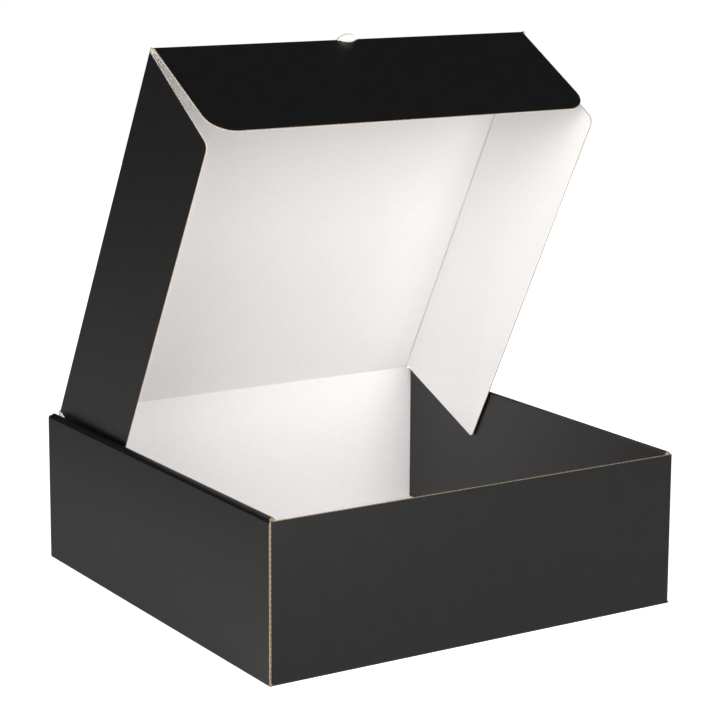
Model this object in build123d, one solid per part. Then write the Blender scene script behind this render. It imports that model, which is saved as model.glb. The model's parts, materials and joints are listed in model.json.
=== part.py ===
from build123d import *
import os
from math import cos, radians, sin, tan

# Hamper box folded from one die-cut sheet of E-flute corrugated board, black outside and white inside.
# The side walls are rolled over the corner flaps and locked by tabs in the floor. The back wall
# carries the lid, and the lid carries a tuck flap in front and a flap at each side.
# Millimetres, +Z up, front towards -Y. The origin is the middle of the underside.

# Board and folds
board = 1.6
fold_inner_radius = 0.2
layer_gap = 0.2
crease_gap = 0.1

# Tray
box_width = 300.0
box_depth = 300.0
wall_height = 100.0
lid_rest_gap = 0.4
rim_slope = 30.0
corner_flap_length = 90.0
corner_flap_drop = 2.5

# Locking tabs and the floor slots that they stand in
tab_count = 2
tab_width = 32.0
tab_pitch = 130.0
tab_recess = 0.3
slot_clearance = 0.4

# Lid
lid_front_clearance = 3.4
lid_side_clearance = 2.8
lid_open_angle = 61.4
thumb_tab_chord = 17.5
thumb_tab_height = 4.5
thumb_notch_clearance = 0.4

# Tuck flap on the lid's front edge
tuck_depth = 89.0
tuck_side_inset = 2.5
tuck_corner_radius = 17.0
tuck_fold = 91.4
tuck_fold_most = 105.0

# Side flaps of the lid
side_flap_depth = 90.0
side_flap_fold = 89.0
side_rear_inset = 2.0
side_rear_inset_free = 9.0
side_front_inset = 3.0
side_front_inset_free = 10.5
side_rear_radius = 2.75
side_front_radius = 5.5

# Worked out from the sizes above
fold_outer_radius = fold_inner_radius + board
fold_middle_radius = fold_inner_radius + board / 2
half_width = box_width / 2
half_depth = box_depth / 2
hinge_height = wall_height + lid_rest_gap + board
rim_height = hinge_height
floor_to_layer = board + layer_gap
roll_width = 3 * board + 2 * layer_gap
inner_panel_x = half_width - roll_width + board / 2
outer_panel_x = half_width - board / 2
corner_flap_x = half_width - board - layer_gap - board / 2
corner_flap_top = wall_height - corner_flap_drop
wall_end_x = corner_flap_x - fold_middle_radius
corner_reach_x = half_width - board - layer_gap
inner_half_depth = half_depth - board - layer_gap
lid_length = box_depth - board - lid_front_clearance
lid_half_width = half_width - roll_width - lid_side_clearance
side_fold_x = lid_half_width - board


def folded_section(points):
    """Section of a sheet whose middle follows the points, with a rounded fold at each of them."""
    middle = FilletPolyline(*points, radius=fold_middle_radius)
    return trace(middle, line_width=board)


def block(x_low, x_high, y_low, y_high, z_low, z_high):
    """Box between two corners."""
    size = (x_high - x_low, y_high - y_low, z_high - z_low)
    corner = Pos(x_low, y_low, z_low)
    return corner * Box(*size, align=(Align.MIN, Align.MIN, Align.MIN))


def rolled_side_walls():
    """Floor with both side walls, each rolled over a sloping rim and down inside to the floor."""
    rise = tan(radians(rim_slope))
    centre_x = inner_panel_x + fold_middle_radius
    centre_z = rim_height - fold_outer_radius
    tangent_z = centre_z + fold_middle_radius / cos(radians(rim_slope))
    inner_crease_z = tangent_z + (centre_x - inner_panel_x) * rise
    outer_crease_z = tangent_z - (outer_panel_x - centre_x) * rise
    right = [
        (outer_panel_x, board / 2),
        (outer_panel_x, outer_crease_z),
        (inner_panel_x, inner_crease_z),
        (inner_panel_x, floor_to_layer),
    ]
    left = [(-x, z) for x, z in reversed(right)]
    section = Plane.XZ * folded_section(left + right)
    return extrude(section, amount=half_depth, both=True)


def wall_end_cuts():
    """What is cut off the floor, inner panels and rims to make room for the front and back walls."""
    reach = outer_panel_x - board / 2
    front = block(-reach, reach, -half_depth - board, -inner_half_depth, -board, rim_height + board)
    return front + mirror(front, about=Plane.XZ)


def front_and_back_walls():
    """Floor with the front wall and the back wall, which ends in the mitred crease of the lid."""
    middle_y = half_depth - board / 2
    points = [
        (-middle_y, wall_height),
        (-middle_y, board / 2),
        (middle_y, board / 2),
        (middle_y, hinge_height),
    ]
    walls = extrude(Plane.YZ * folded_section(points), amount=corner_reach_x, both=True)
    inner_y = half_depth - board
    mitre = make_face(
        Polyline(
            (half_depth, hinge_height),
            (inner_y, hinge_height - board),
            (inner_y, hinge_height),
            close=True,
        )
    )
    walls -= extrude(Plane.YZ * mitre, amount=corner_reach_x, both=True)
    beside_lid = block(lid_half_width, half_width, 0, box_depth, wall_height, box_width)
    past_corner = block(wall_end_x, half_width, -box_depth, box_depth, floor_to_layer, box_width)
    for cut in (beside_lid, past_corner):
        walls -= cut + mirror(cut, about=Plane.YZ)
    return walls


def corner_flap():
    """Flap at the front wall's right end, folded back to stand inside the rolled side wall."""
    middle_y = half_depth - board / 2
    points = [
        (wall_end_x - board, -middle_y),
        (corner_flap_x, -middle_y),
        (corner_flap_x, corner_flap_length - middle_y),
    ]
    full_height = extrude(folded_section(points), amount=wall_height - floor_to_layer)
    behind_wall = block(0, half_width, -inner_half_depth, 0, corner_flap_top, box_width)
    return Pos(0, 0, floor_to_layer) * full_height - behind_wall


def locking_tabs(clearance, z_low, z_high):
    """Tabs under the right inner panel, or their slots when a clearance is given."""
    low_x = inner_panel_x - board / 2 - clearance
    high_x = inner_panel_x + board / 2 + min(clearance, layer_gap)
    reach = tab_width / 2 + clearance
    tab = block(low_x, high_x, -reach, reach, z_low, z_high)
    return [Pos(0, (i - (tab_count - 1) / 2) * tab_pitch, 0) * tab for i in range(tab_count)]


def make_tray():
    """Tray: floor, four walls, corner flaps, rims and locking tabs, all one folded sheet."""
    tray = rolled_side_walls() - wall_end_cuts() + front_and_back_walls()
    for tab_slot in locking_tabs(slot_clearance, -board, board + layer_gap / 2):
        tray -= tab_slot + mirror(tab_slot, about=Plane.YZ)
    for tab in locking_tabs(0, tab_recess, floor_to_layer + board):
        tray += tab + mirror(tab, about=Plane.YZ)
    front_right = corner_flap()
    front_pair = front_right + mirror(front_right, about=Plane.YZ)
    return tray + front_pair + mirror(front_pair, about=Plane.XZ)


def thumb_tab_face(clearance):
    """Half-moon of the thumb tab past the lid's front fold, and the strip behind it."""
    half_chord = thumb_tab_chord / 2 + clearance
    height = thumb_tab_height + clearance
    behind = 2 * board
    arc = ThreePointArc((0, -half_chord), (height, 0), (0, half_chord))
    back = Polyline(
        (0, half_chord), (-behind, half_chord), (-behind, -half_chord), (0, -half_chord)
    )
    return make_face([arc, back])


def make_lid_panel():
    """Lid panel in its own frame: X along its length from the hinge, Y across, Z out of the box."""
    round_x = lid_half_width - board
    across = make_face(
        [
            Line((-lid_half_width, -board), (lid_half_width, -board)),
            CenterArc((round_x, -board), board, 0, 90),
            Line((round_x, 0), (-round_x, 0)),
            CenterArc((-round_x, -board), board, 90, 90),
        ]
    )
    front_mitre = board * tan(radians(tuck_fold_most / 2))
    along = make_face(
        Polyline(
            (crease_gap, 0),
            (lid_length, 0),
            (lid_length - front_mitre, -board),
            (crease_gap + board, -board),
            close=True,
        )
    )
    panel = extrude(Plane.YZ * across, amount=lid_length)
    panel &= extrude(Plane.XZ * along, amount=lid_half_width, both=True)
    tab = extrude(thumb_tab_face(0), amount=-board)
    return panel + Pos(lid_length, 0, 0) * tab


def make_tuck_flap():
    """Tuck flap lying flat in the lid's plane: X from its fold to its free edge, Z out of the box."""
    half = lid_half_width - tuck_side_inset
    edge = FilletPolyline(
        (0, -half), (tuck_depth, -half), (tuck_depth, half), (0, half), radius=tuck_corner_radius
    )
    outline = make_face([edge, Line((0, half), (0, -half))])
    mitre = board * tan(radians(tuck_fold_most / 2))
    notch_width = thumb_tab_chord + 2 * thumb_notch_clearance
    outline -= thumb_tab_face(thumb_notch_clearance)
    outline -= Rectangle(2 * (crease_gap + mitre), notch_width)
    along = make_face(
        Polyline(
            (crease_gap, 0),
            (tuck_depth, 0),
            (tuck_depth, -board),
            (crease_gap + mitre, -board),
            close=True,
        )
    )
    flap = extrude(outline, amount=-board)
    return flap & extrude(Plane.XZ * along, amount=half, both=True)


def make_side_flap():
    """Left side flap lying flat: X along the lid, Y from its fold to its free edge, Z into the box."""
    edge = FilletPolyline(
        (side_rear_inset, crease_gap),
        (side_rear_inset_free, side_flap_depth),
        (lid_length - side_front_inset_free, side_flap_depth),
        (lid_length - side_front_inset, crease_gap),
        radius=[side_rear_radius, side_front_radius],
    )
    outline = make_face([edge, Line(edge @ 1, edge @ 0)])
    return extrude(outline, amount=-board)


# Places of the moving panels
open_cos = cos(radians(lid_open_angle))
open_sin = sin(radians(lid_open_angle))
lid_frame = Plane(
    origin=(0, half_depth, hinge_height), x_dir=(0, -open_cos, open_sin), z_dir=(0, open_sin, open_cos)
).location
tuck_frame = lid_frame * Pos(lid_length, 0, 0) * Rot(0, tuck_fold, 0)
left_flap_frame = lid_frame * Pos(0, -side_fold_x, -board) * Rot(side_flap_fold - 180, 0, 0)
left_flap = left_flap_frame * make_side_flap()

parts = {
    "tray": make_tray(),
    "lid_panel": lid_frame * make_lid_panel(),
    "lid_tuck_flap": tuck_frame * make_tuck_flap(),
    "lid_side_flap_left": left_flap,
    "lid_side_flap_right": mirror(left_flap, about=Plane.YZ),
}

os.makedirs("parts", exist_ok=True)
for name, shape in parts.items():
    export_step(shape, f"parts/{name}.step")
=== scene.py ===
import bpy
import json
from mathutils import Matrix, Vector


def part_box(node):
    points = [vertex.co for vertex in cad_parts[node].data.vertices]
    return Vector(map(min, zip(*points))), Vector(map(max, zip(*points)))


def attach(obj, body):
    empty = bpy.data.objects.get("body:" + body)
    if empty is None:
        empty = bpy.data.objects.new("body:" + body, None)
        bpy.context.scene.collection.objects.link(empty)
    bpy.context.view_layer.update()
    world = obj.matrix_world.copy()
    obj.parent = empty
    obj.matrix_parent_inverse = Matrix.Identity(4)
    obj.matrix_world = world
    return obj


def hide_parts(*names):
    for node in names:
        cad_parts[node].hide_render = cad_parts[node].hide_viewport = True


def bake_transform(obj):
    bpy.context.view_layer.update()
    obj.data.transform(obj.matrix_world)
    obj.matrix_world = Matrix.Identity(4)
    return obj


bl_info = {
    "name": "Hamper Box",
    "version": (1, 0, 0),
    "blender": (4, 5, 0),
    "location": "View3D > Sidebar > Hamper Box",
    "description": "Folds a hamper box of fluted board, black outside and white inside, on its CAD frame",
    "category": "Add Mesh",
}

import json
from math import atan2, cos, pi, radians, sin, sqrt, tan

import bmesh
import bpy
from mathutils import Matrix, Vector

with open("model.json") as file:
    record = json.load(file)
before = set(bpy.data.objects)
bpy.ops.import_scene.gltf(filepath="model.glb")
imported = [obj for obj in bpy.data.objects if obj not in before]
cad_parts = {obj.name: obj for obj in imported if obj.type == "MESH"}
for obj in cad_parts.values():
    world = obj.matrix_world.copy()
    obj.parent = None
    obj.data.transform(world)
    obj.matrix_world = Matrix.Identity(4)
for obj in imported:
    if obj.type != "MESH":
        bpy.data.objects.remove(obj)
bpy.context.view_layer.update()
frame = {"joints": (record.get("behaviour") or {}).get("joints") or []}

# Places that the CAD frame gives
joints = {joint["name"]: joint for joint in frame["joints"]}
hinge_place = Vector(joints["lid_hinge"]["pos_m"])
tuck_place = Vector(joints["tuck_crease"]["pos_m"])
side_place = Vector(joints["right_crease"]["pos_m"])
lid_angle = radians(-joints["lid_hinge"]["range_deg"][0])
tuck_angle = radians(-joints["tuck_crease"]["range_deg"][0])
tray_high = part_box("tray")[1]
half_width = tray_high.x
half_depth = tray_high.y
rim_height = tray_high.z

# The lid's own directions: across it, along it from the hinge, and out of its black side
across = Vector((1, 0, 0))
lid_along = Vector((0, -cos(lid_angle), sin(lid_angle)))
lid_out = Vector((0, sin(lid_angle), cos(lid_angle)))
lid_length = (tuck_place - hinge_place).length
tuck_along = lid_along * cos(tuck_angle) - lid_out * sin(tuck_angle)
tuck_out = lid_along * sin(tuck_angle) + lid_out * cos(tuck_angle)
side_fold_x = side_place.x

# Material slots of every folded piece
PRINT, LINER, CUT, PAINTED_HOLLOW_SHADE = range(4)

# Two places that are no further apart than this are one place
same_place = 0.00001

# The flat panels end a caliper and this room away from the hinge, and from the rounder tuck fold
fold_room = 0.00015
tuck_room = 0.0006

# Flat stretches that a round fold is drawn with
fold_steps = 6

# An edge shows its flutes where its outward normal has at least this share along them
shows_flutes = 0.35

# The edge at a flap's fold is the one whose outward normal points back at least this much
points_back = -0.9


# Settings


def metres(name, description, default):
    """Property for a length."""
    return bpy.props.FloatProperty(
        name=name, description=description, default=default, precision=5, unit="LENGTH"
    )


def vector(name, description, default, **kind):
    """Property for numbers that belong together."""
    return bpy.props.FloatVectorProperty(
        name=name, description=description, default=default, size=len(default), precision=5, **kind
    )


def number(name, description, default, subtype="NONE"):
    """Property for a number without a unit, or with the subtype's."""
    return bpy.props.FloatProperty(name=name, description=description, default=default, subtype=subtype)


def srgb(name, description, default):
    """Property for a colour as sRGB hex."""
    return bpy.props.StringProperty(
        name=name, description=description + ", as sRGB hex", default=default
    )


class HamperBoardSettings(bpy.types.PropertyGroup):
    """Sizes and colours of the fluted board"""

    thickness: metres("Thickness", "Room that one layer of the board takes", 0.0016)
    caliper: metres("Caliper", "Thickness of the board as pressed, in from its printed side", 0.0013)
    crushed: metres("Crushed Edge", "Thickness that the die leaves at the lid's free edges", 0.0009)
    crush_width: metres("Crush Width", "How far in from a free edge the board is pressed", 0.0022)
    liner: metres("Liner", "Thickness of each liner", 0.0002)
    pitch: metres("Flute Pitch", "Distance from flute to flute", 0.00338)
    paper: metres("Fluted Paper", "Thickness of the fluted paper", 0.0002)
    depth: metres("Flute Depth", "How far the flutes are modelled in from a cut edge", 0.003)
    fold_radius: metres("Fold Radius", "Radius of the middle of the board at a fold", 0.001)
    print_colour: srgb("Print Colour", "Black print outside", "#111010")
    liner_colour: srgb("Liner Colour", "White liner inside", "#eeeceb")
    kraft_colour: srgb("Kraft Colour", "Cut edges and flutes", "#cdb499")
    # Painted shade: the share of the kraft colour that is kept in the flute hollows, which stand in for
    # hollows deeper than modelled
    painted_hollow_shade: number("Hollow Shade", "Share of the kraft colour left in hollows", 0.3, "FACTOR")


class HamperTraySettings(bpy.types.PropertyGroup):
    """Sizes of the tray that its CAD box doesn't give"""

    wall_height: metres("Wall Height", "Height of the front wall", 0.1)
    rim_slope: number("Rim Slope", "Slope of the rim up towards the inside", radians(30), "ANGLE")
    layer_gap: metres("Layer Gap", "Room between the layers of a rolled side wall", 0.0002)
    corner_flap_length: metres("Corner Flap", "Length of the flaps caught inside the side walls", 0.09)
    corner_flap_drop: metres("Corner Flap Drop", "How far they stay below the front wall's top", 0.0025)
    corner_bulge: metres("Corner Bulge", "How far the front wall's right corner stands out", 0.0017)
    corner_recess: metres("Corner Recess", "How far the right wall's end stays behind it", 0.0045)
    groove_width: metres("Groove Width", "Width of the groove pressed in under each rim", 0.0012)
    groove_depth: metres("Groove Depth", "Depth of the groove pressed in under each rim", 0.0003)
    tab_width: metres("Locking Tab", "Width of a locking tab", 0.032)
    tab_pitch: metres("Tab Pitch", "Distance between the two locking tabs of a side", 0.13)
    slot_clearance: metres("Slot Clearance", "Room round a locking tab in its floor slot", 0.0004)


class HamperLidSettings(bpy.types.PropertyGroup):
    """Sizes of the lid and its flaps that the CAD frame doesn't give"""

    thumb_chord: metres("Thumb Tab Chord", "Width of the thumb tab", 0.0145)
    thumb_height: metres("Thumb Tab Height", "How far the thumb tab stands past the fold", 0.0037)
    thumb_clearance: metres("Thumb Notch Clearance", "Room between the thumb tab and its notch", 0.0004)
    tuck_depth: metres("Tuck Depth", "Depth of the tuck flap from its fold", 0.089)
    tuck_inset: metres("Tuck Inset", "How much narrower it is than the lid at each side", 0.0025)
    tuck_corner_radius: metres("Tuck Corner Radius", "Radius of the tuck flap's free corners", 0.017)
    side_depth: metres("Side Flap Depth", "Depth of the side flaps from their folds", 0.09)
    side_fold: number("Side Flap Fold", "How far they are folded down", radians(89), "ANGLE")
    side_rear_inset: vector(
        "Rear Insets",
        "From the hinge to the side flap's end, at its fold and free edge",
        (0.002, 0.009),
        unit="LENGTH",
    )
    side_front_inset: vector(
        "Front Insets",
        "From the lid's front to the side flap's end, at its fold and free edge",
        (0.003, 0.0105),
        unit="LENGTH",
    )
    crease_depth: metres("Crease Depth", "How deep the side creases are pressed into the white", 0.0005)
    side_radii: vector(
        "Side Flap Radii", "Radii of its rear and front free corners", (0.00275, 0.0055), unit="LENGTH"
    )


class HamperStageSettings(bpy.types.PropertyGroup):
    """Floor, lamps and camera"""

    floor_colour: srgb("Floor Colour", "Pale studio floor", "#f4f3f1")
    floor_glow: number("Floor Glow", "Extra brightness of the floor that only the camera sees", 0.96)
    room_light: number("Room Light", "Strength of the dim room round the stage", 0.05)
    front_power: number("Front Lamp", "Power of the soft lamp in front", 30.0, "POWER")
    high_power: number("High Lamp", "Power of the soft lamp high at the camera's left", 12.5, "POWER")
    left_power: number("Left Lamp", "Power of the soft lamp at the left", 27.0, "POWER")
    right_power: number("Right Lamp", "Power of the faint lamp behind at the right", 4.0, "POWER")
    camera_place: vector(
        "Camera Place", "Where the camera stands", (-0.79594, -1.26782, 0.47788), subtype="TRANSLATION"
    )
    camera_turn: vector(
        "Camera Turn",
        "The camera's turn to the right, its tilt down and its roll",
        (radians(32.31), radians(10.56), radians(-0.32)),
        subtype="EULER",
    )
    focal_length: bpy.props.FloatProperty(
        name="Focal Length", description="On a sensor 36 mm wide", default=116.36, unit="CAMERA"
    )
    shift: number("Vertical Shift", "Lens shift, as a share of the image", -0.1)


# Objects, colours and nodes


def new_object(name, data):
    """Object with that data, in the scene."""
    made = bpy.data.objects.new(name, data)
    bpy.context.scene.collection.objects.link(made)
    return made


def linear(hex_colour):
    """Linear colour with alpha of an sRGB hex value."""
    channels = [int(hex_colour[i : i + 2], 16) / 255 for i in (1, 3, 5)]
    return tuple(c / 12.92 if c <= 0.04045 else ((c + 0.055) / 1.055) ** 2.4 for c in channels) + (1.0,)


def add_node(tree, kind, inputs=None, **settings):
    """Adds one node with its settings. Each input that is named gets a value or a link, and a node given
    as the value stands for its first output."""
    node = tree.nodes.new(kind)
    for name, value in settings.items():
        setattr(node, name, value)
    for key, value in (inputs or {}).items():
        if isinstance(value, bpy.types.Node):
            value = value.outputs[0]
        if isinstance(value, bpy.types.NodeSocket):
            tree.links.new(value, node.inputs[key])
        else:
            node.inputs[key].default_value = value
    return node


def reckon(tree, operation, *values):
    """Adds one Math node."""
    return add_node(tree, "ShaderNodeMath", dict(enumerate(values)), operation=operation)


# Materials


def new_material(name):
    """New material with that name, and its node tree, still empty."""
    material = bpy.data.materials.new(name)
    material.use_nodes = True
    material.node_tree.nodes.clear()
    return material, material.node_tree


def washboard(tree, pitch):
    """The flat sheet's own coordinates, and a wave over them that follows the flutes."""
    place = add_node(tree, "ShaderNodeUVMap", uv_map="sheet")
    split = add_node(tree, "ShaderNodeSeparateXYZ", {"Vector": place})
    return place, reckon(tree, "SINE", reckon(tree, "MULTIPLY", split, 2 * pi / pitch))


def mottle(tree, place, colour, shares, patch_mm, **noise):
    """Noise in patches of about that size, and the colour that they tint between two shares of itself."""
    patches = add_node(tree, "ShaderNodeTexNoise", {"Vector": place, "Scale": 1000 / patch_mm, **noise})
    tint = add_node(tree, "ShaderNodeValToRGB", {"Fac": patches})
    for stop, position, share in zip(tint.color_ramp.elements, (0.3, 0.7), shares):
        stop.position = position
        stop.color = tuple(share * c for c in linear(colour)[:3]) + (1.0,)
    return patches, tint


def relief(tree, height, strength, **under):
    """Bump of up to 0.03 mm."""
    return add_node(
        tree, "ShaderNodeBump", {"Height": height, "Strength": strength, "Distance": 0.00003, **under}
    )


def paper_shader(tree, inputs):
    """Ends a material as paper with those inputs."""
    shader = add_node(tree, "ShaderNodeBsdfPrincipled", {"IOR": 1.45, **inputs})
    add_node(tree, "ShaderNodeOutputMaterial", {"Surface": shader})


def printed_side(board):
    """Matt black flexo print on the outer liner: nearly no colour of its own, a broad dull sheen that
    picks up a pale floor, and faint bands where the liner sinks between the flutes."""
    tree = new_material("matt_black_print")[1]
    place, wave = washboard(tree, board.pitch)
    # The ink lies unevenly, in clouds about 12 mm across
    shares = (0.85, 1.15)
    cloud, tint = mottle(tree, place, board.print_colour, shares, 12.0, Detail=3.0, Roughness=0.55)
    rough = add_node(tree, "ShaderNodeMapRange", {"Value": cloud, "To Min": 0.33, "To Max": 0.4})
    # Real fibres are about 0.03 mm wide. Their grain is drawn at 0.6 mm, or it would not show
    grain_mm = 0.6
    fibre = add_node(tree, "ShaderNodeTexNoise", {"Vector": place, "Scale": 1000 / grain_mm, "Detail": 2.0})
    flutes = relief(tree, wave, strength=0.25)
    grain = relief(tree, fibre, strength=0.2, Normal=flutes)
    paper_shader(tree, {"Base Color": tint, "Roughness": rough, "Normal": grain})


def white_side(board):
    """White top liner inside: bright uncoated paper with faint bands from the flutes and a soft fibre
    mottle that keeps the large panels from looking blank."""
    tree = new_material("white_top_liner")[1]
    place, wave = washboard(tree, board.pitch)
    # The mottle is of fibre flocks, about 4 mm across
    shares = (0.97, 1.0)
    _, tint = mottle(tree, place, board.liner_colour, shares, 4.0, Detail=5.0, Roughness=0.6)
    flutes = relief(tree, wave, strength=0.3)
    paper_shader(tree, {"Base Color": tint, "Roughness": 0.75, "Normal": flutes})


def kraft_paper(board, name, shade, roughness):
    """Brown kraft pulp: rough, matt and slightly uneven in colour, as a knife leaves it at a cut edge. A
    shade under 1 is painted shade: it darkens the kraft for the hollows between the flutes, which are
    deeper than they are modelled."""
    tree = new_material(name)[1]
    place = add_node(tree, "ShaderNodeTexCoord").outputs["Object"]
    # Pulp is uneven over about 1.5 mm
    shares = (0.8 * shade, shade)
    _, tint = mottle(tree, place, board.kraft_colour, shares, 1.5, Detail=4.0)
    paper_shader(tree, {"Base Color": tint, "Roughness": roughness})


def board_materials(board):
    """The four finishes of the board, made once and shared by every piece."""
    names = ("matt_black_print", "white_top_liner", "cut_kraft_edge", "kraft_flutes_painted_shade")
    if names[0] not in bpy.data.materials:
        printed_side(board)
        white_side(board)
        kraft_paper(board, "cut_kraft_edge", shade=1.0, roughness=0.85)
        # The hollows' kraft is a darker copy of the cut edge's kraft, as painted shade
        kraft_paper(board, "kraft_flutes_painted_shade", shade=board.painted_hollow_shade, roughness=0.9)
    return [bpy.data.materials[name] for name in names]


# Flat sheet: x across the flutes, y along them, z inward from the printed side


def round_corner(before, corner, after, radius, steps=8):
    """Points of the arc that rounds a corner of a flat outline."""
    before, corner, after = Vector(before), Vector(corner), Vector(after)
    back = (before - corner).normalized()
    ahead = (after - corner).normalized()
    half_angle = back.angle(ahead) / 2
    trim = radius / tan(half_angle)
    centre = corner + (back + ahead).normalized() * (radius / sin(half_angle))
    start = corner + back * trim - centre
    end = corner + ahead * trim - centre
    turn = atan2(start.x * end.y - start.y * end.x, start.dot(end))
    return [centre + Matrix.Rotation(turn * i / steps, 2) @ start for i in range(steps + 1)]


def flat_blank(outline, cuts_x=(), cuts_y=(), holes=()):
    """Flat face with that outline, cut where it bends, and without the cells inside the holes."""
    blank = bmesh.new()
    blank.faces.new([blank.verts.new((x, y, 0)) for x, y in outline])
    hole_x = [x for hole in holes for x in hole[:2]]
    hole_y = [y for hole in holes for y in hole[2:]]
    for axis, places in ((0, [*cuts_x, *hole_x]), (1, [*cuts_y, *hole_y])):
        normal = Vector()
        normal[axis] = 1
        for place in sorted(set(places)):
            whole = blank.verts[:] + blank.edges[:] + blank.faces[:]
            bmesh.ops.bisect_plane(
                blank, geom=whole, dist=1e-7, plane_co=normal * place, plane_no=normal
            )
    inside = []
    for face in blank.faces:
        centre = face.calc_center_median()
        if any(x0 < centre.x < x1 and y0 < centre.y < y1 for x0, x1, y0, y1 in holes):
            inside.append(face)
    bmesh.ops.delete(blank, geom=inside, context="FACES")
    bmesh.ops.recalc_face_normals(blank, faces=blank.faces[:])
    if sum(face.normal.z for face in blank.faces) < 0:
        bmesh.ops.reverse_faces(blank, faces=blank.faces[:])
    return blank


def press_border(blank, board):
    """Sets a ring of faces inside the blank's border, over which a crushed edge regains its height."""
    bmesh.ops.inset_region(
        blank, faces=blank.faces[:], thickness=board.crush_width, use_boundary=True, use_even_offset=True
    )


def cut_edges(blank):
    """The blank's border as (start, end, outward normal) with the sheet on the left."""
    found = []
    for face in blank.faces:
        for loop in face.loops:
            if len(loop.edge.link_loops) == 1:
                start, end = loop.vert, loop.link_loop_next.vert
                run = (end.co - start.co).normalized()
                found.append((start, end, Vector((run.y, -run.x, 0))))
    return found


def mark_open_edges(blank, is_open, margin):
    """Marks the border where the flutes show, all but a last bit at each end of a run."""
    mark = blank.edges.layers.int.new("open")
    shown = []
    for start, end, normal in cut_edges(blank):
        if is_open((start.co + end.co) / 2, normal):
            shown.append((start, end))
            blank.edges.get((start, end))[mark] = 1
    starts = {start for start, _ in shown}
    ends = {end for _, end in shown}

    def keep_whole(vert, other):
        """The new vertex a margin from vert, or halfway along a short edge."""
        edge = blank.edges.get((vert, other))
        share = min(0.5, margin / edge.calc_length())
        added = bmesh.utils.edge_split(edge, vert, share)[1]
        blank.edges.get((vert, added))[mark] = 0
        return added

    for start, end in shown:
        if end not in starts:
            end = keep_whole(end, start)
        if start not in ends:
            keep_whole(start, end)


def open_border(blank):
    """The marked part of the border, and the outward normals that meet at each of its vertices."""
    mark = blank.edges.layers.int["open"]
    shown = [run for run in cut_edges(blank) if blank.edges.get(run[:2])[mark]]
    normals = {}
    for start, end, normal in shown:
        normals.setdefault(start, []).append(normal)
        normals.setdefault(end, []).append(normal)
    return shown, normals


def board_shell(blank, board, is_crushed):
    """Closed shell of board on the blank, with a groove between the liners where the flutes show. Ink
    and white paper reach round the liners' edges where the die crushed the board."""
    full, thin = (
        (0.0, board.liner, height - board.liner, height) for height in (board.caliper, board.crushed)
    )
    shown, normals = open_border(blank)
    shown = {run[:2] for run in shown}
    border = cut_edges(blank)
    crushed = {(a, b) for a, b, normal in border if is_crushed((a.co + b.co) / 2, normal)}
    kept = {vert for a, b, _ in border if (a, b) not in crushed for vert in (a, b)}
    pressed = {vert for edge in crushed for vert in edge} - kept
    shell = bmesh.new()
    corners = {}

    def corner(vert, level, inset=False):
        key = (vert, level, inset)
        if key not in corners:
            height = (thin if vert in pressed else full)[level]
            place = Vector((vert.co.x, vert.co.y, height))
            if inset:
                one, other = normals[vert][0], normals[vert][-1]
                place -= (one + other) * (board.depth / (1 + one.dot(other)))
            corners[key] = shell.verts.new(place)
        return corners[key]

    def panel(material, *verts):
        shell.faces.new(verts).material_index = material

    for face in blank.faces:
        panel(LINER, *[corner(vert, 3) for vert in face.verts])
        panel(PRINT, *[corner(vert, 0) for vert in reversed(face.verts)])
    for start, end, _ in border:
        s = [corner(start, level) for level in range(4)]
        e = [corner(end, level) for level in range(4)]
        wrapped = (start, end) in crushed
        panel(PRINT if wrapped else CUT, s[0], e[0], e[1], s[1])
        panel(LINER if wrapped else CUT, s[2], e[2], e[3], s[3])
        if (start, end) not in shown:
            panel(CUT, s[1], e[1], e[2], s[2])
            continue
        s_low, s_high = corner(start, 1, True), corner(start, 2, True)
        e_low, e_high = corner(end, 1, True), corner(end, 2, True)
        # The groove's walls take the kraft darkened as painted shade
        panel(PAINTED_HOLLOW_SHADE, s[1], e[1], e_low, s_low)
        panel(PAINTED_HOLLOW_SHADE, s_low, e_low, e_high, s_high)
        panel(PAINTED_HOLLOW_SHADE, s_high, e_high, e[2], s[2])
        if len(normals[start]) == 1:
            panel(PAINTED_HOLLOW_SHADE, s[1], s_low, s_high, s[2])
        if len(normals[end]) == 1:
            panel(PAINTED_HOLLOW_SHADE, e[1], e[2], e_high, e_low)
    return shell


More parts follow.
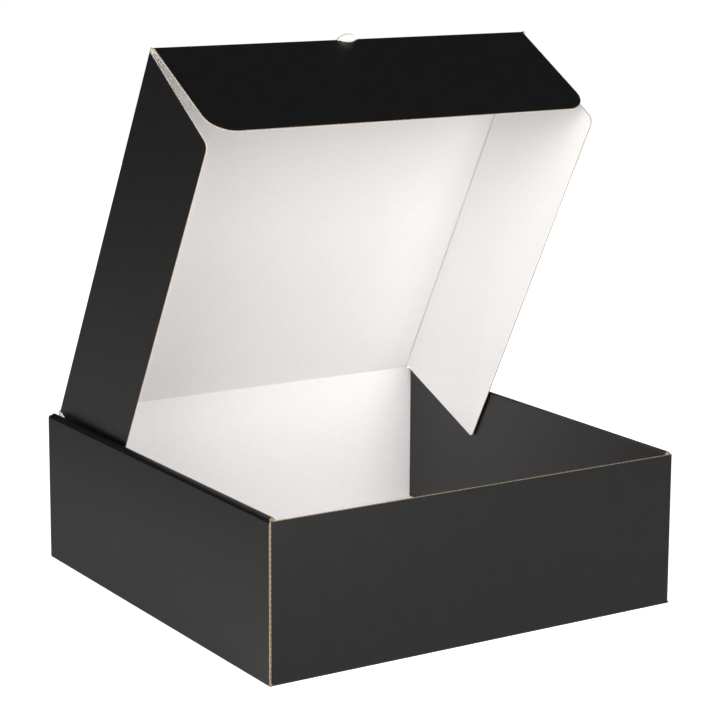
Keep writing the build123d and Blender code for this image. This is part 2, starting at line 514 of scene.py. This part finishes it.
def fluted_paper_tree():
    """Geometry Nodes: a path along a cut edge becomes the waved paper that shows between the liners."""
    tree = bpy.data.node_groups.new("fluted_paper", "GeometryNodeTree")
    tree.interface.new_socket("Geometry", in_out="INPUT", socket_type="NodeSocketGeometry")
    for name in ("Flute Pitch", "Wave Height", "Paper Thickness", "Depth"):
        tree.interface.new_socket(name, in_out="INPUT", socket_type="NodeSocketFloat")
    tree.interface.new_socket("Paper", in_out="INPUT", socket_type="NodeSocketMaterial")
    tree.interface.new_socket("Geometry", in_out="OUTPUT", socket_type="NodeSocketGeometry")
    given = add_node(tree, "NodeGroupInput").outputs
    pitch = given["Flute Pitch"]
    paper = given["Paper Thickness"]
    points_per_flute = 8.0

    # A ribbon that runs in from the edge along the flutes
    path = add_node(tree, "GeometryNodeMeshToCurve", {"Mesh": given["Geometry"]})
    spacing = reckon(tree, "DIVIDE", pitch, points_per_flute)
    points = add_node(tree, "GeometryNodeResampleCurve", {"Curve": path, "Length": spacing}, mode="LENGTH")
    line = add_node(tree, "GeometryNodeCurveToMesh", {"Curve": points})
    inward = add_node(
        tree, "GeometryNodeInputNamedAttribute", {"Name": "inward"}, data_type="FLOAT_VECTOR"
    )
    reach = add_node(tree, "ShaderNodeVectorMath", {0: inward, "Scale": given["Depth"]}, operation="SCALE")
    run_in = {"Mesh": line, "Offset": reach, "Offset Scale": 1.0}
    ribbon = add_node(tree, "GeometryNodeExtrudeMesh", run_in, mode="EDGES")

    # Waves from liner to liner
    place = add_node(tree, "GeometryNodeInputPosition")
    split = add_node(tree, "ShaderNodeSeparateXYZ", {"Vector": place})
    turns = reckon(tree, "MULTIPLY", reckon(tree, "DIVIDE", split, pitch), 2 * pi)
    height = reckon(tree, "MULTIPLY", reckon(tree, "SINE", turns), given["Wave Height"])
    lowered = reckon(tree, "SUBTRACT", height, reckon(tree, "MULTIPLY", paper, 0.5))
    lift = add_node(tree, "ShaderNodeCombineXYZ", {"Z": lowered})
    waved = add_node(tree, "GeometryNodeSetPosition", {"Geometry": ribbon, "Offset": lift})

    # The paper's own thickness
    thick = add_node(tree, "ShaderNodeCombineXYZ", {"Z": paper})
    rise = {"Mesh": waved, "Offset": thick, "Offset Scale": 1.0, "Individual": False}
    top = add_node(tree, "GeometryNodeExtrudeMesh", rise, mode="FACES")
    underside = add_node(tree, "GeometryNodeFlipFaces", {"Mesh": waved})
    both = add_node(tree, "GeometryNodeJoinGeometry", {"Geometry": top})
    tree.links.new(underside.outputs["Mesh"], both.inputs["Geometry"])
    closed = add_node(tree, "GeometryNodeMergeByDistance", {"Geometry": both, "Distance": 1e-6})
    real = add_node(tree, "GeometryNodeRealizeInstances", {"Geometry": closed})
    painted = add_node(tree, "GeometryNodeSetMaterial", {"Geometry": real, "Material": given["Paper"]})
    add_node(tree, "NodeGroupOutput", {"Geometry": painted})
    return tree


def fluted_paper(blank, board, height):
    """Flat mesh of the waved paper in the grooves of the blank, whose edges are that high, made by the
    Geometry Nodes tree."""
    shown, normals = open_border(blank)
    order = {vert: number for number, vert in enumerate(normals)}
    behind_edge = 0.00003
    places, inward = [], []
    for vert, sides in normals.items():
        normal = sum(sides, Vector()).normalized()
        place = vert.co - normal * behind_edge
        places.append((place.x, place.y, height / 2))
        # The paper runs in along the flutes, and equally deep behind a slanting edge
        inward.extend((0, -1 / normal.y, 0))
    path = bpy.data.meshes.new("flute_path")
    path.from_pydata(places, [(order[start], order[end]) for start, end, _ in shown], [])
    path.attributes.new("inward", "FLOAT_VECTOR", "POINT").data.foreach_set("vector", inward)
    holder = new_object("flute_path", path)
    tree = bpy.data.node_groups.get("fluted_paper") or fluted_paper_tree()
    modifier = holder.modifiers.new("fluted_paper", "NODES")
    modifier.node_group = tree
    values = {
        "Flute Pitch": board.pitch,
        "Wave Height": (height - 2 * board.liner - board.paper) / 2,
        "Paper Thickness": board.paper,
        "Depth": board.depth,
        "Paper": board_materials(board)[CUT],
    }
    for item in tree.interface.items_tree:
        if item.in_out == "INPUT" and item.name in values:
            modifier[item.identifier] = values[item.name]
    shaped = holder.evaluated_get(bpy.context.evaluated_depsgraph_get())
    paper = bpy.data.meshes.new_from_object(shaped)
    holder.modifiers.remove(modifier)
    bpy.data.objects.remove(holder)
    return paper


# Folding


def fold_profile(points, radius):
    """The middle line of a folded sheet as runs (length, start, heading, turn). A run that turns is a
    round fold, and the others are straight."""
    points = [Vector(point) for point in points]
    heading = (points[1] - points[0]).normalized()
    start = points[0]
    runs = []
    for corner, after in zip(points[1:], points[2:]):
        ahead = (after - corner).normalized()
        turn = atan2(heading.x * ahead.y - heading.y * ahead.x, heading.dot(ahead))
        trim = radius * tan(abs(turn) / 2)
        fold_start = corner - heading * trim
        runs.append(((fold_start - start).length, start, heading, 0.0))
        runs.append((radius * abs(turn), fold_start, heading, turn))
        start = corner + ahead * trim
        heading = ahead
    runs.append(((points[-1] - start).length, start, heading, 0.0))
    return runs


def place_on(profile, distance, left):
    """The point that far along a profile and that far to the left of it."""
    rounding = 1e-9
    for number, (length, start, heading, turn) in enumerate(profile):
        if distance <= length + rounding or number == len(profile) - 1:
            side = Vector((-heading.y, heading.x))
            if not turn:
                return start + heading * distance + side * left
            radius = length / turn
            arm = side * (left - radius)
            return start + side * radius + Matrix.Rotation(distance / radius, 2) @ arm
        distance -= length


def profile_length(profile):
    """Length of the flat sheet that makes a profile."""
    return sum(run[0] for run in profile)


def fold_places(profile):
    """Distances at which a profile starts, goes through and ends its round folds."""
    places, passed = [], 0.0
    for length, _, _, turn in profile:
        if turn:
            places += [passed + length * i / fold_steps for i in range(fold_steps + 1)]
        passed += length
    return places


def never(place, normal):
    """For a sheet that has no open edges, or no crushed ones."""
    return False


def finished_piece(name, sheets, board, is_crushed=never):
    """One object of all the sheets, each a flat blank with the function that folds it into place."""
    whole = bmesh.new()
    for blank, is_open, fold in sheets:
        mark_open_edges(blank, is_open, board.liner)
        shell = board_shell(blank, board, is_crushed)
        flat_faces = len(shell.faces)
        if open_border(blank)[0]:
            height = board.caliper if is_crushed is never else board.crushed
            shell.from_mesh(fluted_paper(blank, board, height))
        shell.faces.ensure_lookup_table()
        for face in shell.faces[flat_faces:]:
            face.material_index = CUT
        sheet = shell.loops.layers.uv.new("sheet")
        for face in shell.faces:
            for loop in face.loops:
                loop[sheet].uv = loop.vert.co.xy
        for vert in shell.verts:
            vert.co = fold(vert.co)
        bmesh.ops.recalc_face_normals(shell, faces=shell.faces[:])
        folded = bpy.data.meshes.new("folded_sheet")
        shell.to_mesh(folded)
        whole.from_mesh(folded)
        bpy.data.meshes.remove(folded)
    return object_from(whole, name, board)


def object_from(shape, name, board):
    """Object of a finished bmesh, smooth over its folds and sharp at its cut edges."""
    mesh = bpy.data.meshes.new(name)
    for material in board_materials(board):
        mesh.materials.append(material)
    shape.to_mesh(mesh)
    shape.free()
    mesh.polygons.foreach_set("use_smooth", [True] * len(mesh.polygons))
    sharp_from = radians(32)
    mesh.set_sharp_from_angle(angle=sharp_from)
    piece = new_object(name, mesh)
    return piece


# The tray's sheets


def side_profile(board, tray):
    """Floor with both side walls, rolled over the sloping rims and down inside to the floor."""
    layer = board.thickness
    slope = tray.rim_slope
    outer_x = half_width - layer / 2
    inner_x = half_width - 2.5 * layer - 2 * tray.layer_gap
    centre_x = inner_x + board.fold_radius
    centre_z = rim_height - board.fold_radius - layer / 2
    tangent_z = centre_z + board.fold_radius / cos(slope)
    right = [
        (outer_x, layer / 2),
        (outer_x, tangent_z - (outer_x - centre_x) * tan(slope)),
        (inner_x, tangent_z + (centre_x - inner_x) * tan(slope)),
        (inner_x, layer + tray.layer_gap),
    ]
    left = [(-x, z) for x, z in reversed(right)]
    return fold_profile(left + right, board.fold_radius)


def side_sheet(board, tray):
    """Blank of the floor, the rolled side walls, their locking tabs and the slots in the floor."""
    layer = board.thickness
    profile = side_profile(board, tray)
    whole = profile_length(profile)
    end_x = whole / 2
    floor_x = half_width - layer / 2 - board.fold_radius
    outer_fold, rim, inner_fold, panel = (run[0] for run in profile[-4:])
    panel_x = end_x - panel
    rim_x = panel_x - inner_fold - rim
    groove_x = rim_x - outer_fold / 2
    inner_y = half_depth - layer - tray.layer_gap
    tab_x = end_x + layer + tray.layer_gap - board.liner
    inner_side = half_width - 3 * layer - 2 * tray.layer_gap
    slot_low = inner_side - tray.slot_clearance
    slot_high = inner_side + layer + min(tray.slot_clearance, tray.layer_gap)
    covered_y = half_depth - tray.corner_recess
    wall = [(floor_x, -half_depth), (rim_x, -half_depth)]
    right = [(floor_x, -inner_y), *wall, (rim_x, -inner_y), (end_x, -inner_y)]
    slots = []
    for middle in (-tray.tab_pitch / 2, tray.tab_pitch / 2):
        low, high = middle - tray.tab_width / 2, middle + tray.tab_width / 2
        right += [(end_x, low), (tab_x, low), (tab_x, high), (end_x, high)]
        reach = tray.tab_width / 2 + tray.slot_clearance
        slots.append((slot_low, slot_high, middle - reach, middle + reach))
        slots.append((-slot_high, -slot_low, middle - reach, middle + reach))
    right += [(x, -y) for x, y in reversed(right[:5])]
    left = [(-x, -y) for x, y in right]
    # The front wall's bulged corner covers this end of the right wall
    right[1:3] = [(floor_x, -covered_y), (rim_x, -covered_y)]
    cuts = [place - whole / 2 for place in fold_places(profile)]
    half_steps = 4
    groove_cuts = [
        groove_x + tray.groove_width * i / (2 * half_steps) for i in range(-half_steps, half_steps + 1)
    ]
    cuts += groove_cuts + [-x for x in groove_cuts]
    blank = flat_blank(right + left, cuts_x=cuts, holes=slots)

    def is_open(place, normal):
        at_end = abs(normal.y) > shows_flutes and abs(place.y) > covered_y - same_place
        return at_end and floor_x < abs(place.x) < panel_x

    def fold(place):
        height = place.z - layer / 2
        from_groove = abs(abs(place.x) - groove_x) / (tray.groove_width / 2)
        in_printed_liner = place.z < 1.5 * board.liner
        if in_printed_liner and from_groove < 1:
            height += tray.groove_depth * (1 + cos(pi * from_groove)) / 2
        section = place_on(profile, place.x + whole / 2, height)
        return Vector((section.x, place.y, section.y))

    return blank, is_open, fold


def wall_sheet(board, tray, facing, top, top_half, top_open=False, bulge=0.0):
    """Blank of the front wall (facing -1) or the back wall (facing 1) with its two corner flaps. Within
    top_half of the middle the wall is as high as top. A slit frees the flaps from the floor's fold. The
    right corner can bulge past the flap behind it."""
    layer = board.thickness
    middle_y = half_depth - layer / 2
    flap_x = half_width - 1.5 * layer - tray.layer_gap
    slit = 2 * same_place
    floor_z = layer / 2
    floor_start = (-middle_y + board.fold_radius, floor_z)
    rise = fold_profile([floor_start, (-middle_y, floor_z), (-middle_y, top)], board.fold_radius)
    flap_end_y = tray.corner_flap_length - middle_y
    plain = [(0, -middle_y), (flap_x, -middle_y), (flap_x, flap_end_y)]
    bulge_end = (flap_x, tray.corner_recess + layer - middle_y)
    bulged = [(0, -middle_y), (flap_x + bulge, -middle_y), bulge_end, (flap_x, flap_end_y)]
    corners = {-1: fold_profile(plain, board.fold_radius)}
    corners[1] = fold_profile(bulged, board.fold_radius) if bulge else corners[-1]
    up = profile_length(rise) - top
    wall_top = up + tray.wall_height
    flap_low = up + layer + tray.layer_gap
    flap_high = wall_top - tray.corner_flap_drop
    wall_ends, cuts, halves = {}, [], {}
    for side, corner in corners.items():
        around = fold_places(corner)
        wall_end, corner_end, flap_end = around[0], around[fold_steps], profile_length(corner)
        floor_end = corner_end if bulge and side > 0 else half_width - layer - tray.layer_gap
        half = [(floor_end, 0), (floor_end, flap_low - slit), (wall_end, flap_low - slit)]
        half += [(wall_end, flap_low), (flap_end, flap_low), (flap_end, flap_high)]
        half += [(corner_end, flap_high), (corner_end, wall_top)]
        if top_half < wall_end:
            half += [(top_half, wall_top), (top_half, up + top)]
        wall_ends[side] = wall_end
        halves[side] = [(side * x, y) for x, y in half]
        cuts += [side * x for x in around]
    blank = flat_blank(halves[1] + halves[-1][::-1], cuts_x=cuts, cuts_y=fold_places(rise))

    def is_open(place, normal):
        at_top = abs(place.y - wall_top) < same_place
        return top_open and normal.y > shows_flutes and at_top

    def fold(place):
        section = place_on(rise, place.y, layer / 2 - place.z)
        point = Vector((place.x, section.x, section.y))
        side = 1 if place.x > 0 else -1
        if abs(place.x) > wall_ends[side] and place.y > flap_low - slit / 2:
            plan = place_on(corners[side], abs(place.x), place.z - layer / 2)
            point.x = side * plan.x
            point.y = plan.y
        point.y *= -facing
        return point

    return blank, is_open, fold


# The lid's sheets


def half_moon(half_chord, height, level, steps=12):
    """Points of an arc over the chord on x at y 0, from where it is that high above the chord."""
    radius = (half_chord**2 + height**2) / (2 * height)
    centre_y = height - radius
    reach = atan2(sqrt(radius**2 - (level - centre_y) ** 2), level - centre_y)
    turns = [reach * (1 - 2 * i / steps) for i in range(steps + 1)]
    return [(radius * sin(turn), centre_y + radius * cos(turn)) for turn in turns]


def lid_sheet(board, lid):
    """Blank of the lid panel with its thumb tab, notched where the side flaps fold down."""
    edge_x = side_fold_x + board.thickness
    front_y = lid_length - (board.caliper + tuck_room)
    rear = lid.side_rear_inset[0]
    half_chord = lid.thumb_chord / 2
    right = [
        (edge_x, board.caliper + fold_room),
        (edge_x, rear),
        (side_fold_x, rear),
        (side_fold_x, front_y),
        (half_chord, front_y),
    ]
    moon = half_moon(half_chord, lid.thumb_height, level=0.0)
    tab = [(x, lid_length + y) for x, y in moon]
    left = [(-x, y) for x, y in reversed(right)]
    blank = flat_blank(right + tab + left, cuts_y=[lid_length])

    def fold(place):
        return hinge_place + across * place.x + lid_along * place.y - lid_out * place.z

    return blank, never, fold


def tuck_sheet(board, lid):
    """Blank of the tuck flap with its rounded corners and the notch of the thumb tab."""
    half = side_fold_x + board.thickness - lid.tuck_inset
    start_y = board.caliper + tuck_room
    corners = [(-half, start_y), (-half, lid.tuck_depth), (half, lid.tuck_depth), (half, start_y)]
    notch = half_moon(
        lid.thumb_chord / 2 + lid.thumb_clearance, lid.thumb_height + lid.thumb_clearance, start_y
    )
    outline = [corners[0], *((-x, y) for x, y in notch), corners[3]]
    outline += round_corner(*corners[:0:-1], lid.tuck_corner_radius)
    outline += round_corner(*corners[2::-1], lid.tuck_corner_radius)
    blank = flat_blank(outline)
    press_border(blank, board)

    def is_open(place, normal):
        return normal.y > shows_flutes and place.y > lid.tuck_depth / 2

    def fold(place):
        return tuck_place + across * place.x + tuck_along * place.y - tuck_out * place.z

    return blank, is_open, fold


def side_sheet_of_lid(board, lid, side):
    """Blank of the left (side -1) or right (side 1) flap of the lid."""
    rear_fold, rear_free = lid.side_rear_inset
    front_fold, front_free = (lid_length - inset for inset in lid.side_front_inset)
    depth = lid.side_depth
    corners = [(0, rear_fold), (depth, rear_free), (depth, front_free), (0, front_fold)]
    rear_round = round_corner(*corners[:3], lid.side_radii[0])
    front_round = round_corner(*corners[1:], lid.side_radii[1])
    blank = flat_blank([corners[0], *rear_round, *front_round, corners[3]])
    press_border(blank, board)
    down = across * (side * cos(lid.side_fold)) - lid_out * sin(lid.side_fold)
    outward = across * (side * sin(lid.side_fold)) + lid_out * cos(lid.side_fold)
    pivot = hinge_place + across * (side * side_fold_x) - lid_out * board.thickness

    def is_open(place, normal):
        return abs(normal.y) > shows_flutes

    def fold(place):
        height = board.thickness - place.z
        return pivot + down * place.x + lid_along * place.y + outward * height

    return blank, is_open, fold


# Creases


def crease_strip(name, outer, inner, low, high, place, bodies, board, along_flutes=False):
    """Strip of board along a crease, which rides on one body, or between two bodies is left where it is
    made. outer and inner are its printed and its white side in section, both from the first body to the
    second, and place puts a point of the section into the box at a distance along the crease."""
    strip = bmesh.new()
    sheet = strip.loops.layers.uv.new("sheet")
    ring = [*outer, *reversed(inner)]
    passed = [0.0]
    for one, other in zip(ring, ring[1:]):
        passed.append(passed[-1] + (Vector(other) - Vector(one)).length)
    ends = [[strip.verts.new(place(at, Vector(point))) for point in ring] for at in (low, high)]
    materials = [*[PRINT] * (len(outer) - 1), CUT, *[LINER] * (len(inner) - 1), CUT]
    for i, material in enumerate(materials):
        j = (i + 1) % len(ring)
        face = strip.faces.new((ends[0][i], ends[0][j], ends[1][j], ends[1][i]))
        face.material_index = material
        spots = ((low, passed[i]), (low, passed[j]), (high, passed[j]), (high, passed[i]))
        for loop, (at, run) in zip(face.loops, spots):
            loop[sheet].uv = (run, at) if along_flutes else (at, run)
    for end in ends:
        strip.faces.new(end).material_index = CUT
    bmesh.ops.recalc_face_normals(strip, faces=strip.faces[:])
    piece = object_from(strip, name, board)
    if len(bodies) == 1:
        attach(piece, bodies[0])
        return
    first = [place(0.0, Vector(side[0])) for side in (outer, inner)]
    second = [place(0.0, Vector(side[-1])) for side in (outer, inner)]
    course = (sum(second, Vector()) - sum(first, Vector())).normalized()
    end = min(second, key=course.dot)
    course * course.dot(end)
    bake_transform(piece)


def between(start, end, steps=3):
    """Points from start towards end, without the end."""
    start, end = Vector(start), Vector(end)
    return [start.lerp(end, i / steps) for i in range(steps)]


def build_hinge_crease(board):
    """The lid's hinge, along the back wall's top edge."""
    thick = board.caliper
    margin = thick + fold_room
    along = Vector((cos(lid_angle), sin(lid_angle)))
    out = Vector((-sin(lid_angle), cos(lid_angle)))
    lid_outer = along * margin
    lid_inner = lid_outer - out * thick
    reach = thick * tan((pi / 2 - lid_angle) / 2)
    inner_corner = (thick, -reach)
    outer = [*between((0, -margin), (0, 0)), *between((0, 0), lid_outer), lid_outer]
    inner = [*between((thick, -margin), inner_corner), *between(inner_corner, lid_inner), lid_inner]

    def place(at, point):
        return hinge_place + Vector((at, -point.x, point.y))

    half = side_fold_x + board.thickness
    crease_strip("hinge_crease", outer, inner, -half, half, place, ("tray", "lid"), board)


def build_tuck_creases(board, lid):
    """The fold between the lid and its tuck flap, on both sides of the thumb tab."""
    thick = board.caliper
    margin = thick + tuck_room
    radius = thick + fold_room
    along = Vector((cos(tuck_angle), -sin(tuck_angle)))
    out = Vector((sin(tuck_angle), cos(tuck_angle)))
    steps = 7
    turns = [tuck_angle * i / steps for i in range(steps + 1)]
    centre = Vector((-radius * tan(tuck_angle / 2), -radius))
    bend = [centre + Vector((sin(turn), cos(turn))) * radius for turn in turns]
    outer = [(-margin, 0), *bend, along * margin]
    corner = (-thick * tan(tuck_angle / 2), -thick)
    inner = [(-margin, -thick), corner, along * margin - out * thick]

    def place(at, point):
        return tuck_place + across * at + lid_along * point.x + lid_out * point.y

    gap = lid.thumb_chord / 2 + lid.thumb_clearance
    bodies = ("lid", "tuck_flap")
    crease_strip("tuck_crease_left", outer, inner, -side_fold_x, -gap, place, bodies, board)
    crease_strip("tuck_crease_right", outer, inner, gap, side_fold_x, place, bodies, board)


def build_side_creases(board, lid):
    """The folds of the lid's side flaps, quarter rounds about the line that each flap turns on. They are
    pressed in on the white side, which shows as a fine dark line, and run to the lid's front corner. A
    fold is a strip on the lid with a strip on the flap just inside it, and the second slides out of the
    first as the flap goes in."""
    steps = 8
    slide_fit = 0.00003
    end_gap = radians(1)
    for side, word in ((-1, "left"), (1, "right")):
        for name, body, inset, first_turn in (
            (f"side_crease_{word}", "lid", 0.0, 0.0),
            (f"side_crease_{word}_flap", f"{word}_flap", slide_fit, end_gap),
        ):
            spread = lid.side_fold - end_gap
            turns = [first_turn + spread * i / steps for i in range(steps + 1)]
            thick = board.thickness - inset
            thin = board.thickness - board.caliper + lid.crease_depth + inset
            outer = [(thick * sin(turn), thick * cos(turn) - board.thickness) for turn in turns]
            inner = [(thin * sin(turn), thin * cos(turn) - board.thickness) for turn in turns]
            low = lid.side_rear_inset[0] + inset
            high = lid_length - board.liner - inset

            def place(at, point, side=side):
                run = hinge_place + across * (side * (side_fold_x + point.x))
                return run + lid_along * at + lid_out * point.y

            crease_strip(name, outer, inner, low, high, place, (body,), board, along_flutes=True)


# Operators


class HAMPER_OT_fold_tray(bpy.types.Operator):
    """Folds the tray: floor, rolled side walls, front wall, back wall and corner flaps"""

    bl_idname = "hamper.fold_tray"
    bl_label = "Fold Tray"

    def execute(self, context):
        board = context.scene.hamper_board
        tray = context.scene.hamper_tray
        back_top = rim_height - (board.caliper + fold_room)
        sheets = [
            side_sheet(board, tray),
            wall_sheet(
                board, tray, -1, tray.wall_height, half_width, top_open=True, bulge=tray.corner_bulge
            ),
            wall_sheet(board, tray, 1, back_top, side_fold_x + board.thickness),
        ]
        piece = finished_piece("folded_tray", sheets, board)
        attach(piece, "tray")
        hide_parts("tray")
        return {"FINISHED"}


class HAMPER_OT_fold_lid(bpy.types.Operator):
    """Makes the lid panel with its thumb tab"""

    bl_idname = "hamper.fold_lid"
    bl_label = "Fold Lid Panel"

    def execute(self, context):
        scene = context.scene
        sheets = [lid_sheet(scene.hamper_board, scene.hamper_lid)]

        def on_tab(place, normal):
            return place.y > lid_length

        piece = finished_piece("lid_board", sheets, scene.hamper_board, on_tab)
        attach(piece, "lid")
        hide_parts("lid_panel")
        return {"FINISHED"}


class HAMPER_OT_fold_tuck(bpy.types.Operator):
    """Makes the tuck flap on the lid's front fold"""

    bl_idname = "hamper.fold_tuck"
    bl_label = "Fold Tuck Flap"

    def execute(self, context):
        scene = context.scene
        sheets = [tuck_sheet(scene.hamper_board, scene.hamper_lid)]

        def past_fold(place, normal):
            return normal.y > points_back

        piece = finished_piece("tuck_flap_board", sheets, scene.hamper_board, past_fold)
        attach(piece, "tuck_flap")
        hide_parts("lid_tuck_flap")
        return {"FINISHED"}


class HAMPER_OT_fold_side_flaps(bpy.types.Operator):
    """Makes the two flaps on the lid's side folds"""

    bl_idname = "hamper.fold_side_flaps"
    bl_label = "Fold Side Flaps"

    def execute(self, context):
        scene = context.scene

        def past_fold(place, normal):
            return normal.x > points_back

        for side, word in ((-1, "left"), (1, "right")):
            sheets = [side_sheet_of_lid(scene.hamper_board, scene.hamper_lid, side)]
            name = f"side_flap_board_{word}"
            piece = finished_piece(name, sheets, scene.hamper_board, past_fold)
            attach(piece, f"{word}_flap")
            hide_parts(f"lid_side_flap_{word}")
        return {"FINISHED"}


class HAMPER_OT_press_creases(bpy.types.Operator):
    """Makes the strips of board at the hinge and at the folds of the flaps"""

    bl_idname = "hamper.press_creases"
    bl_label = "Press Creases"

    def execute(self, context):
        scene = context.scene
        build_hinge_crease(scene.hamper_board)
        build_tuck_creases(scene.hamper_board, scene.hamper_lid)
        build_side_creases(scene.hamper_board, scene.hamper_lid)
        return {"FINISHED"}


def soft_lamp(name, place, power):
    """Large square lamp that looks at the middle of the box."""
    box_middle = Vector((0, 0, 0.15))
    light = bpy.data.lights.new(name, "AREA")
    light.shape = "SQUARE"
    light.size = 1.2
    light.energy = power
    lamp = new_object(name, light)
    lamp.location = place
    lamp.rotation_mode = "QUATERNION"
    lamp.rotation_quaternion = (box_middle - Vector(place)).to_track_quat("-Z", "Y")


def pale_floor(stage):
    """Matt pale floor. Its glow, which only the camera sees, keeps it white round the soft shadow."""
    material, tree = new_material("pale_studio_floor")
    path = add_node(tree, "ShaderNodeLightPath").outputs
    matt = add_node(tree, "ShaderNodeBsdfDiffuse", {"Color": linear(stage.floor_colour)})
    strength = reckon(tree, "MULTIPLY", path["Is Camera Ray"], stage.floor_glow)
    glow = add_node(tree, "ShaderNodeEmission", {"Strength": strength})
    both = add_node(tree, "ShaderNodeAddShader", {0: matt, 1: glow})
    add_node(tree, "ShaderNodeOutputMaterial", {"Surface": both})
    half_floor = 12.0
    mesh = bpy.data.meshes.new("studio_floor")
    shape = bmesh.new()
    bmesh.ops.create_grid(shape, x_segments=1, y_segments=1, size=half_floor)
    shape.to_mesh(mesh)
    shape.free()
    mesh.materials.append(material)
    floor = new_object("studio_floor", mesh)


def grey_room(stage):
    """World that is white to the camera and a dim room to everything else. Glossy rays are left out, as
    the box has no metal or glass, and a matt black print under a white ceiling would turn grey."""
    world = bpy.data.worlds.new("studio_room")
    world.use_nodes = True
    tree = world.node_tree
    tree.nodes.clear()
    path = add_node(tree, "ShaderNodeLightPath").outputs
    seen = reckon(tree, "MAXIMUM", path["Is Camera Ray"], path["Is Transmission Ray"])
    level = add_node(tree, "ShaderNodeMapRange", {"Value": seen, "To Min": stage.room_light, "To Max": 1.0})
    back = add_node(tree, "ShaderNodeBackground", {"Strength": level})
    add_node(tree, "ShaderNodeOutputWorld", {"Surface": back})
    bpy.context.scene.world = world


def stand_camera(stage):
    """Camera at the photograph's viewing angle."""
    turn, tilt, roll = stage.camera_turn
    ahead = Vector((sin(turn) * cos(tilt), cos(turn) * cos(tilt), -sin(tilt)))
    right = Vector((cos(turn), -sin(turn), 0))
    down = ahead.cross(right)
    rolled_right = right * cos(roll) + down * sin(roll)
    rolled_down = down * cos(roll) - right * sin(roll)
    data = bpy.data.cameras.new("camera")
    data.sensor_width = 36
    data.lens = stage.focal_length
    data.shift_y = stage.shift
    camera = new_object("camera", data)
    axes = Matrix((rolled_right, -rolled_down, -ahead)).transposed()
    camera.matrix_world = Matrix.Translation(Vector(stage.camera_place)) @ axes.to_4x4()
    bpy.context.scene.camera = camera


class HAMPER_OT_set_stage(bpy.types.Operator):
    """Sets the floor, the soft lamps, the grey room and the camera"""

    bl_idname = "hamper.set_stage"
    bl_label = "Set Stage"

    def execute(self, context):
        stage = context.scene.hamper_stage
        context.scene.view_settings.view_transform = "Standard"
        pale_floor(stage)
        grey_room(stage)
        soft_lamp("front_lamp", (0.1, -2.0, 0.8), stage.front_power)
        soft_lamp("high_lamp", (-0.9, -1.5, 1.6), stage.high_power)
        soft_lamp("left_lamp", (-1.6, -1.1, 0.7), stage.left_power)
        soft_lamp("right_lamp", (1.2, 1.6, 0.5), stage.right_power)
        stand_camera(stage)
        return {"FINISHED"}


class HAMPER_PT_box(bpy.types.Panel):
    """Lists the steps that build the box"""

    bl_idname = "HAMPER_PT_box"
    bl_label = "Hamper Box"
    bl_space_type = "VIEW_3D"
    bl_region_type = "UI"
    bl_category = "Hamper Box"

    def draw(self, context):
        for step in build_steps:
            self.layout.operator(step.bl_idname)


settings = {
    "hamper_board": HamperBoardSettings,
    "hamper_tray": HamperTraySettings,
    "hamper_lid": HamperLidSettings,
    "hamper_stage": HamperStageSettings,
}
build_steps = (
    HAMPER_OT_fold_tray,
    HAMPER_OT_fold_lid,
    HAMPER_OT_fold_tuck,
    HAMPER_OT_fold_side_flaps,
    HAMPER_OT_press_creases,
    HAMPER_OT_set_stage,
)
classes = (*settings.values(), *build_steps, HAMPER_PT_box)


def register():
    for group in classes:
        bpy.utils.register_class(group)
    for name, group in settings.items():
        setattr(bpy.types.Scene, name, bpy.props.PointerProperty(type=group))


def unregister():
    for name in settings:
        delattr(bpy.types.Scene, name)
    for group in reversed(classes):
        bpy.utils.unregister_class(group)


def main():
    register()
    bpy.ops.hamper.fold_tray()
    bpy.ops.hamper.fold_lid()
    bpy.ops.hamper.fold_tuck()
    bpy.ops.hamper.fold_side_flaps()
    bpy.ops.hamper.press_creases()
    bpy.ops.hamper.set_stage()


if __name__ == "__main__":
    main()
